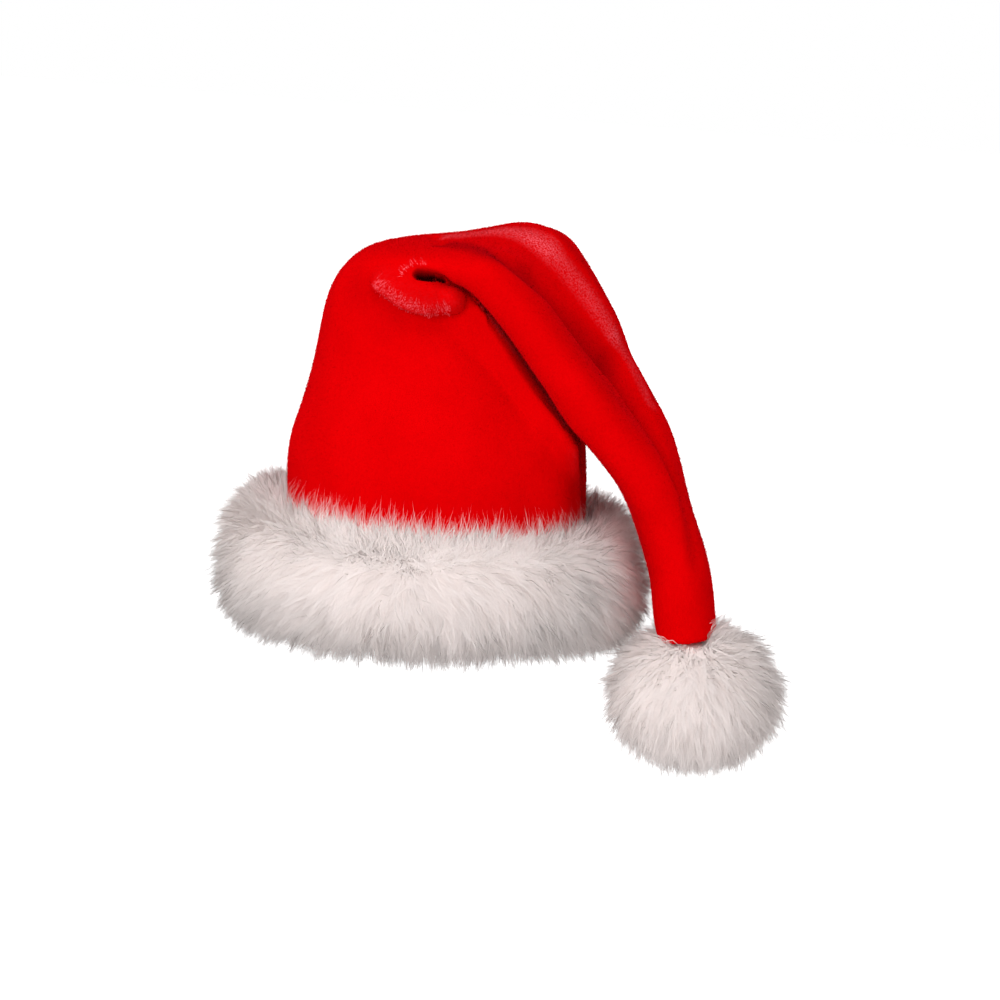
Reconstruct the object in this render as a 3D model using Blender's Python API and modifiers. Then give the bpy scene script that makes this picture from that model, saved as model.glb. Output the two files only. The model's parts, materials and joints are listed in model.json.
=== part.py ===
"""Santa hat: a plush cone with a long folded tail, a deep fur cuff and a fur pompom.

Metres, +Z up. The hat is worn level: the origin is the middle of the head
opening at the rim, the wearer faces -Y, and the tail falls to +X.
"""

import math
import random

import bmesh
import bpy
from mathutils import Vector

# Head that the hat fits
HEAD_WIDTH = 0.177
HEAD_DEPTH = 0.199

# Plush cone
CLOTH = 0.0025
CROWN_HEIGHT = 0.232
SEAM_GAP = 0.0005

# Fur cuff
CUFF_HEIGHT = 0.080
CUFF_BULGE = 0.033
CUFF_LOCK = 0.0065

# Fur pompom
POMPOM_DIAMETER = 0.087
POMPOM_LOCK = 0.007
POMPOM_SINK = 0.012

# Locks of fur: the least and the most of the lock length that they reach, how far
# their tips are drawn along the flow, and the seeds that scatter them
LOCK_REACH = (0.75, 1.15)
LOCK_LEAN = (0.4, 0.8)
POMPOM_FLOW = 0.5
CUFF_SEED = 11
POMPOM_SEED = 5

# Mesh counts: columns round the cone, loops to each section and loops in the seat
COLUMNS = 40
STEPS = 2
SEAT_LOOPS = 7

HALF_WIDTH = HEAD_WIDTH / 2 + CLOTH
HALF_DEPTH = HEAD_DEPTH / 2 + CLOTH

# Sections of the cone, from the rim over the fold and down to the end of the tail.
# side, front, up: the point in the middle of the section's inner side, the side
#   that the cone bends to, as shares of the half width, half depth and height;
# past: how far further out it lies, as a share of the cuff's bulge;
# pitch: the way the cone runs there, 90 is up and -90 is down, and yaw: how far
#   the section is turned round the head, both in degrees;
# thick, depth: its two sizes, as shares of the half width and half depth;
# square: how boxy it is, 2 for an ellipse; sag: how far the middle of its outer
#   side sinks, as a share of the thickness; lean: how much higher its back is
#   than its front, as a share of the depth.
CONE_COLUMNS = (
    "name", "side", "past", "front", "up", "pitch", "yaw", "thick", "depth", "square", "sag", "lean",
)
CONE_SECTIONS = (
    ("rim", 1.000, 0.00, 0.00, 0.000, 90, 0, 2.000, 2.000, 2.00, 0.00, 0.00),
    ("cuff_top", 0.965, 0.00, 0.00, 0.335, 90, 0, 1.960, 1.971, 2.00, 0.00, 0.00),
    ("brow", 0.940, 0.00, 0.00, 0.461, 89, 2, 1.925, 1.922, 2.05, 0.00, 0.00),
    ("head_top", 0.896, 0.00, 0.01, 0.530, 87, 5, 1.830, 1.843, 2.10, 0.00, 0.00),
    ("waist", 0.791, 0.00, 0.03, 0.591, 85, 8, 1.687, 1.725, 2.15, 0.00, 0.00),
    ("shoulder", 0.637, 0.00, 0.04, 0.662, 81.5, 11, 1.511, 1.608, 2.20, 0.00, 0.00),
    ("upper", 0.495, 0.00, 0.05, 0.737, 82, 14, 1.341, 1.500, 2.20, 0.00, 0.00),
    ("under_lip", 0.363, 0.00, 0.06, 0.806, 83, 17, 1.159, 1.422, 2.20, 0.00, 0.03),
    ("lip", 0.258, 0.00, 0.06, 0.853, 81, 20, 0.973, 1.353, 2.20, 0.00, 0.06),
    ("fold_start", 0.192, 0.00, 0.06, 0.886, 75, 22, 0.764, 1.304, 2.20, 0.00, 0.08),
    ("crease", 0.170, 0.00, 0.05, 0.907, 70, 22, 0.571, 1.275, 2.20, 0.02, 0.10),
    ("fold", 0.176, 0.00, 0.05, 0.914, 58, 22, 0.385, 1.265, 2.30, 0.06, 0.12),
    ("fold_top", 0.198, 0.00, 0.05, 0.916, 33, 22, 0.280, 1.275, 2.40, 0.12, 0.13),
    ("fold_over", 0.225, 0.00, 0.06, 0.914, -2, 22, 0.280, 1.294, 2.40, 0.20, 0.14),
    ("fold_end", 0.247, 0.00, 0.08, 0.899, -26, 21, 0.341, 1.304, 2.50, 0.28, 0.12),
    ("tail_top", 0.291, 0.00, 0.11, 0.875, -44, 18, 0.429, 1.304, 2.50, 0.33, 0.08),
    ("tail_upper", 0.482, 0.00, 0.15, 0.781, -52, 16, 0.440, 1.245, 2.50, 0.36, 0.06),
    ("tail_over", 0.698, 0.00, 0.20, 0.664, -54, 15, 0.440, 1.167, 2.50, 0.34, 0.05),
    ("tail_middle", 0.818, 0.00, 0.24, 0.602, -54, 15, 0.440, 1.098, 2.50, 0.32, 0.04),
    ("tail_side", 0.963, 0.00, 0.26, 0.528, -54, 14, 0.434, 1.029, 2.50, 0.28, 0.04),
    ("tail_free", 1.053, 0.11, 0.30, 0.465, -57, 13, 0.429, 0.922, 2.40, 0.22, 0.03),
    ("tail_beside", 1.076, 0.34, 0.34, 0.392, -64, 8, 0.423, 0.804, 2.30, 0.14, 0.00),
    ("tail_gap", 1.087, 0.55, 0.37, 0.312, -68, 5, 0.401, 0.696, 2.20, 0.08, 0.00),
    ("tail_cuff", 1.095, 0.78, 0.41, 0.219, -71, 5, 0.401, 0.608, 2.20, 0.04, 0.00),
    ("tail_lower", 1.078, 0.95, 0.46, 0.155, -76, 5, 0.396, 0.510, 2.10, 0.01, 0.00),
    ("tail_narrow", 1.077, 1.03, 0.47, 0.106, -78, 3, 0.391, 0.422, 2.00, 0.00, 0.00),
    ("tail_end", 1.087, 1.10, 0.49, 0.053, -82, 0, 0.374, 0.353, 2.00, 0.00, 0.00),
)

# Bulges and dents of the plush, each a soft round swelling of the surface.
# row: the section that it is centred on, counted from the rim; around: its
#   angle, 0 at the back, 90 on the outer side of the bend, 180 at the front and
#   270 on the inner side; rows, span: how far it reaches each way, in sections
#   and degrees; push: outwards, as a share of the half width.
FORM_COLUMNS = ("name", "row", "around", "rows", "span", "push")
CONE_FORMS = (
    ("lip_roll", 8.5, 220, 0.8, 28, 0.11),
    ("under_lip_dent", 6.3, 205, 0.9, 30, -0.06),
    ("front_belly", 3.4, 180, 1.2, 60, 0.02),
)

# Outline of the cuff's fur, from its top at the plush round to its foot.
# out: as a share of the bulge; up: as a share of the height.
CUFF_COLUMNS = ("name", "out", "up")
CUFF_PROFILE = (
    ("top_seam", 0.00, 0.90),
    ("top_lip", 0.22, 0.95),
    ("top", 0.46, 0.94),
    ("top_round", 0.70, 0.87),
    ("upper_side", 0.88, 0.74),
    ("side", 0.97, 0.59),
    ("belly", 1.00, 0.42),
    ("lower_side", 0.95, 0.25),
    ("foot_round", 0.82, 0.11),
    ("foot", 0.60, 0.02),
    ("foot_inner", 0.32, -0.02),
    ("foot_seam", 0.00, 0.01),
)


def named_rows(columns, table):
    """Gives each row of a table as a dictionary by column name."""
    return [dict(zip(columns, row)) for row in table]


def blended_row(rows, place):
    """Reads a table between its rows, on a smooth curve through them."""
    first = min(int(place), len(rows) - 2)
    t = place - first
    picks = [rows[min(max(first + step, 0), len(rows) - 1)] for step in (-1, 0, 1, 2)]
    blended = {}
    for column in rows[0]:
        if column == "name":
            continue
        a, b, c, d = (pick[column] for pick in picks)
        blended[column] = b + 0.5 * t * (
            c - a + t * (2 * a - 5 * b + 4 * c - d + t * (3 * (b - c) + d - a))
        )
    return blended


def form_push(place, degrees):
    """Adds up the bulges and dents at a place along and around the cone."""
    total = 0.0
    for form in named_rows(FORM_COLUMNS, CONE_FORMS):
        turn = (degrees - form["around"] + 180) % 360 - 180
        reach = ((place - form["row"]) / form["rows"]) ** 2 + (turn / form["span"]) ** 2
        total += form["push"] * math.exp(-reach)
    return total * HALF_WIDTH


def section_frame(row):
    """Gives the middle of a section and its run, outer and depth directions."""
    pitch = math.radians(row["pitch"])
    yaw = math.radians(row["yaw"])
    run = Vector((math.cos(yaw) * math.cos(pitch), -math.sin(yaw) * math.cos(pitch), math.sin(pitch)))
    level = Vector((math.sin(yaw), math.cos(yaw), 0))
    upright = Vector((-math.sin(pitch) * math.cos(yaw), math.sin(pitch) * math.sin(yaw), math.cos(pitch)))
    depth = (level + upright * row["lean"]).normalized()
    outer = (upright - level * row["lean"]).normalized()
    inner_point = Vector((
        row["side"] * HALF_WIDTH + row["past"] * CUFF_BULGE,
        -row["front"] * HALF_DEPTH,
        row["up"] * CROWN_HEIGHT,
    ))
    middle = inner_point + outer * row["thick"] * HALF_WIDTH / 2
    return middle, run, outer, depth


def section_loop(row, place=None, grow=0.0):
    """Gives the points round one section, the back first and then the outer side."""
    middle, _, outer, depth = section_frame(row)
    half_thick = row["thick"] * HALF_WIDTH / 2 + grow
    half_deep = row["depth"] * HALF_DEPTH / 2 + grow
    power = 2 / row["square"]
    points = []
    for column in range(COLUMNS):
        degrees = 360 * column / COLUMNS
        angle = math.radians(degrees)
        deep = math.copysign(abs(math.cos(angle)) ** power, math.cos(angle))
        thick = math.copysign(abs(math.sin(angle)) ** power, math.sin(angle))
        push = 0.0 if place is None else form_push(place, degrees)
        lift = (half_thick + push) * thick
        if thick > 0:
            lift -= row["sag"] * 2 * half_thick * math.cos(deep * math.pi / 2) ** 2
        points.append(middle + outer * lift + depth * (half_deep + push) * deep)
    return points


def mesh_object(name, bm, collection):
    """Makes an object from a bmesh and frees it."""
    mesh = bpy.data.meshes.new(name)
    bmesh.ops.recalc_face_normals(bm, faces=bm.faces)
    bm.to_mesh(mesh)
    bm.free()
    made = bpy.data.objects.new(name, mesh)
    collection.objects.link(made)
    return made


def loft(bm, loops):
    """Joins loops of points with faces, each to the next."""
    rings = [[bm.verts.new(point) for point in loop] for loop in loops]
    faces = []
    for ring, following in zip(rings, rings[1:]):
        for i in range(len(ring)):
            j = (i + 1) % len(ring)
            faces.append(bm.faces.new((ring[i], ring[j], following[j], following[i])))
    return rings, faces


def material(name, colour, roughness):
    """Makes a plain Principled material."""
    made = bpy.data.materials.new(name)
    made.use_nodes = True
    shader = made.node_tree.nodes["Principled BSDF"]
    shader.inputs["Base Color"].default_value = (*colour, 1)
    shader.inputs["Roughness"].default_value = roughness
    shader.inputs["Metallic"].default_value = 0
    made.diffuse_color = (*colour, 1)
    return made


def cone_places():
    """Lists where the cone's loops lie, in sections counted from the rim."""
    last = len(CONE_SECTIONS) - 1
    return [step / STEPS for step in range(last * STEPS + 1)]


def build_crown(collection):
    """Lofts the plush cone, closes the end of its tail and gives it a wall."""
    rows = named_rows(CONE_COLUMNS, CONE_SECTIONS)
    loops = [section_loop(blended_row(rows, place), place) for place in cone_places()]
    bm = bmesh.new()
    rings, _ = loft(bm, loops)
    middle, run, _, _ = section_frame(rows[-1])
    tip = bm.verts.new(middle + run * CLOTH)
    last = rings[-1]
    for i in range(COLUMNS):
        bm.faces.new((last[i], last[(i + 1) % COLUMNS], tip))
    crown = mesh_object("crown", bm, collection)
    wall = crown.modifiers.new("cloth", "SOLIDIFY")
    wall.thickness = CLOTH
    wall.offset = -1
    crown.data.shade_smooth()
    crown.data.materials.append(material("red_plush", (0.72, 0.005, 0.012), 0.85))
    return crown


def pull_locks(bm, faces, length, flow, rng):
    """Raises a pointed lock of fur from each face, its tip drawn along the flow."""
    poked = bmesh.ops.poke(bm, faces=faces)
    for tip in poked["verts"]:
        tip.normal_update()
        reach = length * rng.uniform(*LOCK_REACH)
        tip.co += tip.normal * reach + flow * reach * rng.uniform(*LOCK_LEAN)


def build_cuff(collection):
    """Builds the fur cuff: a ring round the plush with locks all over its fur side."""
    rim, cuff_top = named_rows(CONE_COLUMNS, CONE_SECTIONS)[:2]
    loops = []
    for row in named_rows(CUFF_COLUMNS, CUFF_PROFILE):
        up = row["up"] * CUFF_HEIGHT / CROWN_HEIGHT
        share = min(max(up / cuff_top["up"], 0), 1)
        plush = {key: rim[key] + share * (cuff_top[key] - rim[key]) for key in rim if key != "name"}
        plush["up"] = up
        loops.append(section_loop(plush, grow=SEAM_GAP + row["out"] * CUFF_BULGE))
    bm = bmesh.new()
    rings, faces = loft(bm, loops)
    for i in range(COLUMNS):
        j = (i + 1) % COLUMNS
        bm.faces.new((rings[-1][i], rings[-1][j], rings[0][j], rings[0][i]))
    bmesh.ops.recalc_face_normals(bm, faces=bm.faces)
    pull_locks(bm, faces, CUFF_LOCK, Vector((0, 0, -1)), random.Random(CUFF_SEED))
    cuff = mesh_object("fur_cuff", bm, collection)
    cuff.data.materials.append(material("white_fur", (0.85, 0.83, 0.80), 0.9))
    return cuff


def build_pompom(collection, cutters):
    """Builds the fur ball on the end of the tail, with a seat for the tail."""
    rows = named_rows(CONE_COLUMNS, CONE_SECTIONS)
    end, run, _, _ = section_frame(rows[-1])
    radius = POMPOM_DIAMETER / 2
    centre = end + run * (radius - POMPOM_SINK)
    bm = bmesh.new()
    bmesh.ops.create_icosphere(bm, subdivisions=3, radius=radius)
    bmesh.ops.translate(bm, verts=bm.verts, vec=centre)
    pull_locks(bm, list(bm.faces), POMPOM_LOCK, run * POMPOM_FLOW, random.Random(POMPOM_SEED))
    pompom = mesh_object("pompom", bm, collection)
    pompom.data.materials.append(material("white_pompom_fur", (0.85, 0.83, 0.80), 0.9))

    places = cone_places()[-SEAT_LOOPS:]
    loops = [section_loop(blended_row(rows, place), grow=SEAM_GAP) for place in places]
    loops.append([point + run * (CLOTH + SEAM_GAP) for point in loops[-1]])
    bm = bmesh.new()
    rings, _ = loft(bm, loops)
    for ring in (rings[0], rings[-1]):
        bm.faces.new(ring)
    cutter = mesh_object("tail_seat", bm, cutters)
    cutter.display_type = "WIRE"
    cutter.hide_render = True
    cut = pompom.modifiers.new("seat", "BOOLEAN")
    cut.operation = "DIFFERENCE"
    cut.object = cutter
    return pompom


def main():
    for old in list(bpy.data.objects):
        bpy.data.objects.remove(old, do_unlink=True)
    hat = bpy.data.collections.new("santa_hat")
    cutters = bpy.data.collections.new("cutters")
    for collection in (hat, cutters):
        bpy.context.scene.collection.children.link(collection)
    build_crown(hat)
    build_cuff(hat)
    build_pompom(hat, cutters)


main()
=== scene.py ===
import json
import math

import bmesh
import bpy
import numpy as np
from mathutils import Matrix, Vector
from mathutils.bvhtree import BVHTree

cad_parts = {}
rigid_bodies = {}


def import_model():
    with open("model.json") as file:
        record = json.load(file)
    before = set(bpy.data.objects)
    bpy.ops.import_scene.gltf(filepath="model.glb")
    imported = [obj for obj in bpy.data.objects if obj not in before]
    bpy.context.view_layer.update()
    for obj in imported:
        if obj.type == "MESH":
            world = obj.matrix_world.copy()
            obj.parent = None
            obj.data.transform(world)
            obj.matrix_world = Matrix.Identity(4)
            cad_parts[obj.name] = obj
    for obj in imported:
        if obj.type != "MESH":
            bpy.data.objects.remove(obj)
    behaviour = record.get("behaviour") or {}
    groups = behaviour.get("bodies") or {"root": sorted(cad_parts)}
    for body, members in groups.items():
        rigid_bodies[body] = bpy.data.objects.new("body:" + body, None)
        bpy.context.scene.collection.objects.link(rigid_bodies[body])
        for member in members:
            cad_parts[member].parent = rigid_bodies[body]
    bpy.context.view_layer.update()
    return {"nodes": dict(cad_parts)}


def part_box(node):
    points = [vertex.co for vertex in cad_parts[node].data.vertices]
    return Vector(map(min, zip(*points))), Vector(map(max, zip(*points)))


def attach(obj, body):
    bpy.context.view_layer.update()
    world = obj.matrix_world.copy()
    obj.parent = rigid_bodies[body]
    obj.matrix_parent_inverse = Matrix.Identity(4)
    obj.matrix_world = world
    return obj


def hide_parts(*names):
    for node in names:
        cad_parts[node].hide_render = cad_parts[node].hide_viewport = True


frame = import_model()
print("frame loaded:", sorted(frame["nodes"]))

camera = {
    "originPixel": (430, 620),       # where the middle of the head opening shows
    "imageSize": 1000,
    "distance": 2.4,
    "elevation": 8.0,
    "roll": 4.5,                     # the picture is tipped, the cuff is level
    "lens": 144,
    "sensor": 36,
}

light = {
    "skyColor": (1.0, 1.0, 1.0),
    "skyStrength": 0.40,
    "keyFrom": (-28, 20, 1.28, 25),  # azimuth, elevation, strength, softness in degrees
    "frontFrom": (34, 2, 0.68, 90),
    "topFrom": (-40, 66, 0.85, 60),
    "floorDrop": 0.36,               # the floor lies this far below the rim
    "floorSize": 30.0,
    "floorColor": (0.80, 0.80, 0.80),
    "floorRoughness": 0.9,
    "floorGlow": 0.9,                # as seen by the camera, so that the floor stays white
    "backdrop": 1.0,                 # strength of the white that the camera sees behind it all
}

plush = {
    "red": (0.80, 0.0002, 0.0014),
    "deepRed": (0.72, 0.0000, 0.0009),
    "paintedSheenRed": (0.96, 0.100, 0.130),  # painted sheen: a lighter pink where the nap is brushed up and catches the light
    "paintedShadeRed": (0.08, 0.0, 0.003),    # painted shade: a deeper red in the valleys, creases and the hole
    "backing": (0.30, 0.008, 0.014),
    "look": {"roughness": 1.0, "sheen": 0.20, "sheenRoughness": 0.35,
             "sheenTint": (1.0, 0.01, 0.03), "specular": 0.0},
    "backLook": {"roughness": 0.95, "sheen": 0.0, "sheenRoughness": 0.5,
                 "sheenTint": (1, 1, 1), "specular": 0.1},
    "mottle": (26.0, 420.0, 0.35),   # scales of the large and small patches, share of the small
    "pileMottle": (30.0, 500.0, 0.5),
    "backMottle": (30.0, 900.0, 0.5),
    "speckleScale": 950.0,           # painted sheen flecks where the nap is brushed up
    "speckleFrom": (0.42, 0.58),
    "speckleTo": (0.0, 2.1),
    "grainScale": 1500.0,
    "grainStrength": 0.35,
    "grainHeight": 0.0006,
    "wall": 0.0025,
    "flat": (0.61, 0.52),            # the cut: round the rim, and from the rim to the tail's end
    "cutArea": 0.18,
    "mergeGap": 0.00002,
    "quadAngle": 60,
    "smoothing": 2,
    "refined": (424, 288, 0.0215),   # finer faces round this pixel of the fold, and how far
    "refinedCuts": 2,
    "alikeGain": 1.6,                # how sharply a stroke tells faces that look another way
    "pileSeed": 4,
    "pileCount": 120000,
    "pileLength": 0.0013,
    "pileLengths": (0.6, 1.2),       # shares of that length
    "pileWidth": 0.00022,
    "pileFall": (0.25, 0, -1.0),     # the way the nap lies, down the cone
    "pileLean": 0.9,                 # and how far it lies over
    "pileSplay": 0.35,
    "pileSheenShade": (0.4, 1.6),           # how unevenly the hairs take the painted sheen and shade
    "pileTwist": 0.5,
}

# Moves of the cone's surface along strokes over the photo's pixels: how far each
# reaches, how far it pushes out along the surface, how far it slides the surface up, and how much
# painted sheen (above 0, where the pile also stands longer) or painted shade (below 0) it puts into the
# colour. Lengths in metres.
# One with "into" pushes that way instead, one with "level" draws the surface to that
# depth in y, from its start to its end, and "alike" leaves faces that look another way.
foldStrokes = (
    {"name": "shoulder", "path": ((568, 256), (586, 284), (602, 314)),
     "reach": 0.034, "push": 0.0048, "slide": 0, "napSheenShade": 0, "alike": True},
    {"name": "tailEnd", "path": ((664, 616), (686, 617), (706, 612)),
     "reach": 0.026, "push": 0.0006, "slide": -0.0090, "napSheenShade": 0},
    {"name": "notch", "path": ((436, 236.5), (438, 240), (441, 245)),
     "reach": 0.007, "push": 0.0034, "slide": 0, "napSheenShade": -0.3, "into": (0.0, 0.0, -1.0)},
    {"name": "valleyTop", "path": ((452, 244), (474, 248), (498, 257)),
     "reach": 0.015, "push": 0, "slide": 0, "napSheenShade": -0.42},
    {"name": "valley", "path": ((514, 262), (540, 285), (565, 318), (602, 357)),
     "reach": 0.021, "push": -0.0056, "slide": 0, "napSheenShade": -0.34},
    {"name": "valleyLow", "path": ((612, 368), (654, 436), (676, 478)),
     "reach": 0.015, "push": -0.0050, "slide": 0, "napSheenShade": -0.22},
    {"name": "valleyFoot", "path": ((680, 488), (690, 520), (698, 560)),
     "reach": 0.012, "push": -0.0022, "slide": 0, "napSheenShade": 0},
    {"name": "frontRoll", "path": ((480, 285), (520, 322), (560, 372), (605, 435), (640, 500)),
     "reach": 0.018, "push": 0.0016, "slide": 0, "napSheenShade": 0},
    {"name": "rollEdge", "path": ((480, 302), (492, 315), (512, 342), (540, 382), (565, 420)),
     "reach": 0.0035, "push": 0.0003, "slide": 0, "napSheenShade": 0.45},
    {"name": "backTop", "path": ((452, 236.5), (475, 234), (500, 231), (525, 234), (545, 244)),
     "reach": 0.016, "push": 0.0004, "slide": 0, "napSheenShade": 0.36},
    {"name": "backRidge", "path": ((530, 240), (560, 262), (590, 298), (613, 334)),
     "reach": 0.0115, "push": 0.0008, "slide": 0, "napSheenShade": 0.22},
    {"name": "ridgeLow", "path": ((613, 334), (632, 366), (650, 402)),
     "reach": 0.0080, "push": 0.0003, "slide": 0, "napSheenShade": 0.14},
    {"name": "edgeStrip", "path": ((556, 230), (584, 262), (610, 303), (632, 345), (655, 400)),
     "reach": 0.007, "push": 0, "slide": 0, "napSheenShade": -0.25},
    {"name": "domeDent", "path": ((348, 290), (362, 304), (385, 322)),
     "reach": 0.020, "push": -0.0030, "slide": 0, "napSheenShade": -0.08},
    {"name": "lipRoll", "path": ((384, 281), (402, 294), (424, 301), (446, 301)),
     "reach": 0.0125, "push": 0.0046, "slide": -0.0026, "napSheenShade": 0.02},
    {"name": "lipMerge", "path": ((454, 299), (466, 306), (478, 316)),
     "reach": 0.011, "push": 0.0050, "slide": 0, "napSheenShade": 0, "alike": True},
    {"name": "underLip", "path": ((380, 302), (408, 322), (432, 326), (450, 324)),
     "reach": 0.0085, "push": -0.0030, "slide": 0.0010, "napSheenShade": -0.05},
    {"name": "lipEdge", "path": ((374, 286), (384, 297), (398, 306), (414, 312), (434, 315)),
     "reach": 0.0032, "push": 0.0004, "slide": 0, "napSheenShade": 0.12},
    {"name": "hole", "path": ((419, 275), (431, 277)),
     "reach": 0.0042, "push": 0.0150, "slide": 0, "napSheenShade": -1.6, "into": (0.1, 1.0, -0.45)},
    {"name": "holeTail", "path": ((431, 277), (443, 280)),
     "reach": 0.0026, "push": 0.0100, "slide": 0, "napSheenShade": -1.4, "into": (0.1, 1.0, -0.35)},
    {"name": "tuckedSide", "path": ((480, 318), (501, 345), (528, 384), (547, 411), (562, 433)),
     "reach": 0.032, "push": 0, "slide": 0, "napSheenShade": 0, "alike": True, "level": (-0.058, -0.066)},
    {"name": "tuckedAgain", "path": ((474, 322), (493, 348), (519, 388), (540, 420)),
     "reach": 0.018, "push": 0, "slide": 0, "napSheenShade": 0, "alike": True, "level": (-0.058, -0.066)},
    {"name": "rightPanel", "path": ((548, 435), (556, 465), (560, 515)),
     "reach": 0.030, "push": 0.0042, "slide": 0, "napSheenShade": 0, "alike": True},
    {"name": "sideCorner", "path": ((573, 452), (575, 480), (577, 520)),
     "reach": 0.0060, "push": 0.0030, "slide": 0, "napSheenShade": 0.03},
    {"name": "leftFlare", "path": ((292, 450), (288, 470), (287, 500)),
     "reach": 0.030, "push": 0.0020, "slide": 0, "napSheenShade": 0},
)

# Where the lip runs out under the tail, the cloth is smoothed this far along these pixels.
calmed = {"path": ((449, 284), (458, 289), (468, 298)), "reach": 0.0065, "repeat": 14}

# Single hairs of brushed-up pile: they start along a path of pixels and lie towards a
# pixel, or away from it where their length, in pixels, is below 0.
brushedHairs = (
    {"name": "lip", "path": ((372, 285), (381, 294), (394, 304), (409, 312), (431, 316), (452, 314)),
     "towards": (425, 245), "length": (5, 17), "count": 260},
    {"name": "brow", "path": ((402, 275), (407, 268), (416, 264), (428, 264)),
     "towards": (426, 284), "length": (-2, -7), "count": 36},
)

brushed = {
    "seed": 16,
    "scatter": 1.2,                  # pixels off the path
    "turn": 0.22,                    # radians off the way that they lie
    "widest": 0.75,                  # share of the pile's width
    "steps": (0, 0.33, 0.67, 1),     # places along a hair, with its lift and width at each
    "lifts": (0.0, 0.0004, 0.0007, 0.0008),
    "spans": (1.0, 1.0, 0.7),
    "longest": 0.0018,               # metres per pixel: a longer one has jumped over an edge
    # the share of painted sheen in each brushed hair's colour
    "napSheenShade": (0.15, 0.65),
}

# What the cuff's and the pompom's hairs share. Pairs marked * are for guard tufts, which
# draw to a point, and for the loose hair between them.
hair = {
    "gather": (0.12, 0.9),           # * how much of the roots' spread the tips keep
    "loose": (0.25, 1.0),            # * shares of tipSpread
    "stray": (0.34, 0.20),           # * how unevenly the tufts lean
    "tall": (1.1, 0.86),             # *
    "thick": (1.35, 1.0),            # *
    "tuftLengths": (0.88, 1.1),      # from and to, as shares
    "hairLengths": (0.70, 1.08),
    "droops": (0.6, 1.2),
    "widths": (0.7, 1.2),
    "bow": 0.5,                      # how far a hair goes straight out before it leans over
    "facingSplay": 0.07,
    "twist": 0.5,
    "spans": ((0.0, 1.0), (0.50, 0.85)),   # place along a hair, and its width there
    "tested": (0.45, 0.75, 1.0),     # places along a hair that have to be clear of the plush
}

cuff = {
    "seed": 21,
    "pieces": 3,
    "backingRings": 14,
    "backingColumns": 96,
    "backingGap": 0.0008,            # between the backing and the plush, at both seams
    "rootBulge": 0.015,              # how far the fur's backing stands out from the plush
    "leftBulge": 0.004,              # and how much further on the wearer's right side
    "rightBulge": 0.005,             # and on the other one, low down
    "square": 0.42,                  # 0.5 gives a round section, 0 a square one
    "rootLow": 0.009,
    "rootHigh": 0.064,
    "frontDip": 0.008,               # the band sits lower over the brow
    "rightRise": 0.006,              # and its foot higher on the side of the tail
    "riseTurn": 0.5,                 # radians from that side towards the brow
    "look": {"roughness": 0.75, "sheen": 0.15, "sheenRoughness": 0.4,
             "sheenTint": (1, 1, 1), "specular": 0.2},
    "mottle": (60.0, 900.0, 0.45),
    # a warm off-white and a darker tone of it for the random patches, both with a pink tint that is a
    # painted reflection of the red light the plush bounces onto the fur
    "white": (0.96, 0.885, 0.865),
    "shade": (0.89, 0.810, 0.785),
    "tufts": 14400,
    "hairsPerTuft": 11,
    "length": 0.025,
    "width": 0.00034,
    "tuftSpread": 0.0045,
    "tipSpread": 0.0020,
    "guardShare": 0.30,              # tufts that stand further out and draw to a point
    "stand": 0.75,                   # how far the hair stands up instead of lying over
    "droop": 0.12,
    "rootCrowd": 1.1,                # 1 spreads the roots evenly from seam to foot
    "endLength": 0.80,               # the hair's share of length at the seams
    "middleLength": 0.25,            # and what it gains between them
    "lieSweeps": (0.0, 0.10, 0.24, 0.40, 0.8),      # places from the top seam to the foot
    "lieUp": (0.8, 0.6, -0.15, -0.70, -1.0),        # and how far up the hair lies there
    "sideGain": 1.5,
    "sideLie": (0.35, 0.65),         # how far it lies out to the sides, and more in the middle
    "wisps": 0.6,                    # how far it lies over to one side where it parts
    "wispBand": 0.4,
    "upWaves": (
        {"turns": 9, "slope": 7, "shift": 0, "size": 0.12},
        {"turns": 23, "slope": -11, "shift": 0, "size": 0.10},
    ),
    "aroundWaves": (
        {"turns": 5, "slope": 4, "shift": 1.3, "size": 0.30},
        {"turns": 17, "slope": 9, "shift": 0, "size": 0.22},
    ),
    "strayHairs": 2400,              # long single hairs along the top edge, per piece
    "straySweeps": (0.04, 0.30),
    "strayLean": 0.35,
    "straySplay": 0.50,
    "strayLengths": (0.75, 1.35),
    "strayWidths": (0.55, 0.85),
    "strayBow": (0.4, 0.45),
    "fill": 0.6,
}

pompom = {
    "seed": 8,
    "headDetail": 4,
    "fill": 0.8,
    "headSize": (0.0335, 0.032, 0.0295),
    "tailEnd": (0.150, 0.007, 0.021),   # its middle in x, its height and half its width
    "aside": 0.0025,                 # the ball hangs a little further out than its seat
    "tufts": 5200,
    "hairsPerTuft": 11,
    "length": 0.0275,
    "width": 0.00034,
    "tuftSpread": 0.0030,
    "tipSpread": 0.0019,
    "guardShare": 0.35,
    "stand": 1.0,
    "crownFrom": (-0.15, -0.28, 0.95),   # the hair parts here and falls away all round
    "comb": 0.90,
    "combGain": 2.5,
    "poleShort": 0.18,               # the hair's shorter there and at the foot
    "rootScatter": 0.02,
    "droop": 0.05,
}


def deselectAll():
    if bpy.context.object and bpy.context.object.mode != "OBJECT":
        bpy.ops.object.mode_set(mode="OBJECT")
    bpy.ops.object.select_all(action="DESELECT")


def makeActive(piece):
    deselectAll()
    piece.select_set(True)
    bpy.context.view_layer.objects.active = piece


def applyPlace(piece):
    makeActive(piece)
    bpy.ops.object.transform_apply(location=True, rotation=True, scale=True)


def addModifier(piece, kind, **values):
    makeActive(piece)
    modifier = piece.modifiers.new(kind.lower(), kind)
    for name, value in values.items():
        setattr(modifier, name, value)
    bpy.ops.object.modifier_apply(modifier=modifier.name)


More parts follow.
